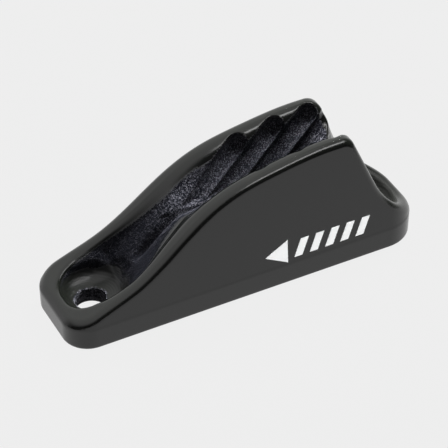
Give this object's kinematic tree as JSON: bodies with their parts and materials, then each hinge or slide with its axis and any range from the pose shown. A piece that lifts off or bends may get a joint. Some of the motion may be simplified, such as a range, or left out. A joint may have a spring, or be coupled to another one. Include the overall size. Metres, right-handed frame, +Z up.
{
  "type": "jam cleat",
  "caption": "V-groove jam cleat for small rope: a cast body with fluted gripping walls, a ramp at the loaded end and a screw hole at each end.",
  "frame": {"origin": "centre of the flat underside, midway between the two screw holes", "axes": "+X along the cleat, from the low end where the loaded rope leaves to the tall end; +Y across the cleat; +Z up out of the mounting face"},
  "size_m": [0.066, 0.0174, 0.0251],
  "materials": {
    "anodised_casting": "black hard anodised, satin outside, rough as cast in the rope channel",
    "print_ink": "matte white pad-printed ink"
  },
  "bodies": {
    "root": {"cleat_body": "anodised_casting", "side_print": "print_ink"}
  },
  "joints": []
}
